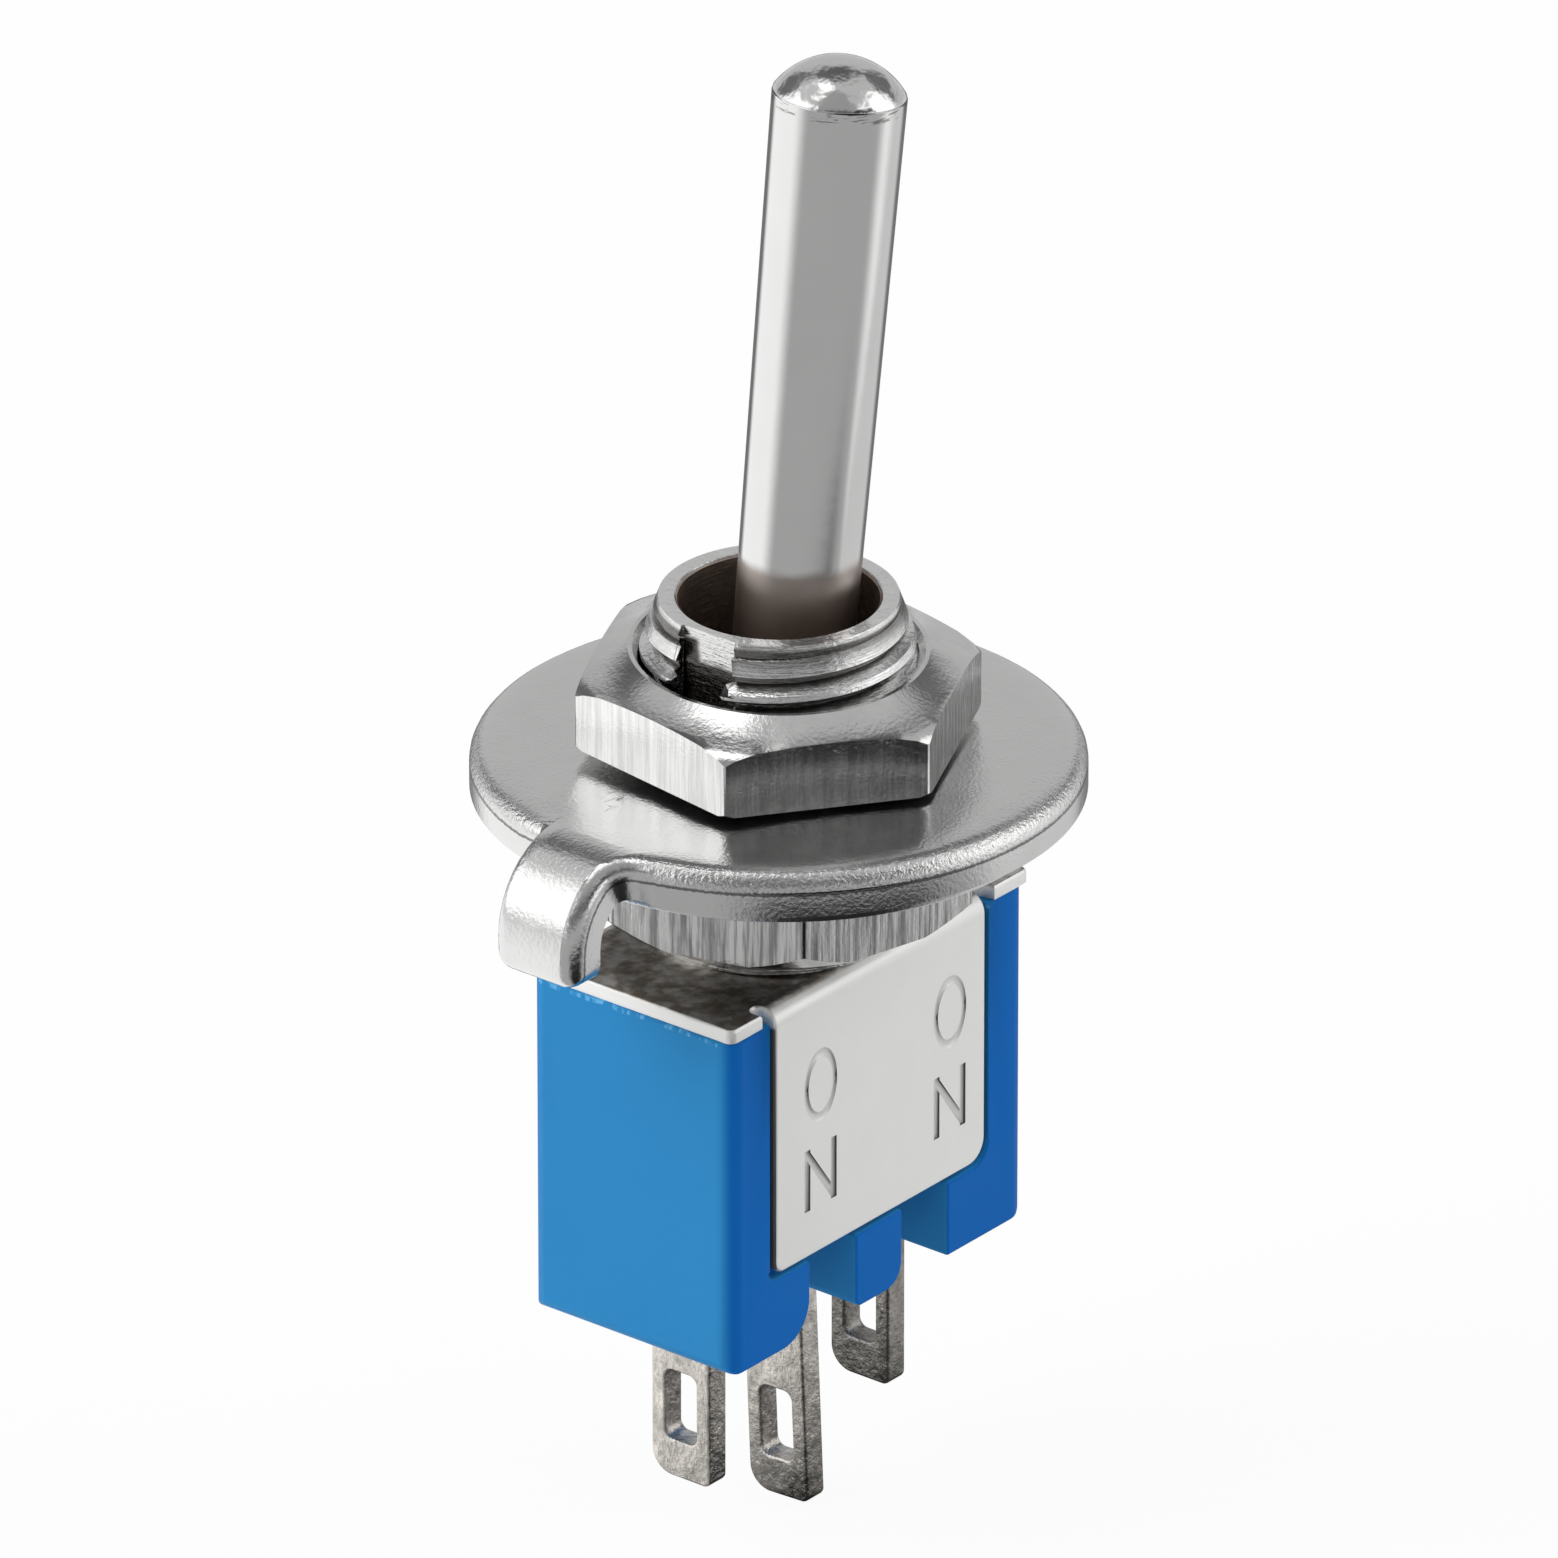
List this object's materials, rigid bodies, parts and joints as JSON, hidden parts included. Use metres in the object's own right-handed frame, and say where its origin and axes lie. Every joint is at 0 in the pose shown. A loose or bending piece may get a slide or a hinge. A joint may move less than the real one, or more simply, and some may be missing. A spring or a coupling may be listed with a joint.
{
  "type": "panel toggle switch",
  "caption": "Sub-miniature panel toggle switch: domed metal lever in a threaded bushing with nuts and washers, moulded case in a folded metal frame, and solder lugs below.",
  "frame": {"origin": "on the bushing's axis, in the plane where the panel seats, between the locating washer and the lock washer", "axes": "+Z along the bushing towards the lever's tip; +X along the row of terminals, towards the lever's lean at rest; the keyway and the locating tab are at -X"},
  "size_m": [0.0121, 0.0108, 0.0273],
  "materials": {
    "case_plastic": "matte moulded",
    "frame_sheet": "satin nickel plate",
    "bushing_plate": "bright nickel plate",
    "lever_plate": "polished nickel plate",
    "nut_plate": "nickel plate over broached flats",
    "washer_plate": "bright nickel plate",
    "lug_tin": "dull tinned metal",
    "pin_steel": "ground steel",
    "plunger_plastic": "moulded nylon",
    "spring_wire": "drawn wire",
    "rocker_alloy": "stamped copper alloy",
    "contact_silver": "silver"
  },
  "bodies": {
    "body": {"case": "case_plastic", "frame": "frame_sheet", "bushing": "bushing_plate", "pivot_pin": "pin_steel", "panel_nut_upper": "nut_plate", "locating_washer": "washer_plate", "lock_washer": "washer_plate", "panel_nut_lower": "nut_plate", "terminal_left": "lug_tin", "terminal_middle": "lug_tin", "terminal_right": "lug_tin", "fixed_contact_left": "contact_silver", "fixed_contact_right": "contact_silver"},
    "lever": {"lever": "lever_plate", "plunger_spring": "spring_wire"},
    "plunger": {"plunger": "plunger_plastic"},
    "rocker": {"rocker": "rocker_alloy", "rocker_contact_left": "contact_silver", "rocker_contact_right": "contact_silver"}
  },
  "joints": [
    {"name": "lever_tilt", "type": "hinge", "parent": "body", "child": "lever", "pos_m": [0, 0, -0.00062], "axis": [0, 1, 0], "range_deg": [-14.6, 0]},
    {"name": "plunger_slide", "type": "slide", "parent": "lever", "child": "plunger", "axis": [0.1271, 0, 0.9919], "range_m": [0, 0.00035], "stiffness_N_per_m": 100, "deforming": ["plunger_spring"]},
    {"name": "rocker_tilt", "type": "hinge", "parent": "body", "child": "rocker", "pos_m": [0, 0, -0.00574], "axis": [0, 1, 0], "range_deg": [0, 16.01]}
  ],
  "couplings": [
    {"joint": "rocker_tilt", "follows": "lever_tilt", "ratio": -1.0959}
  ]
}
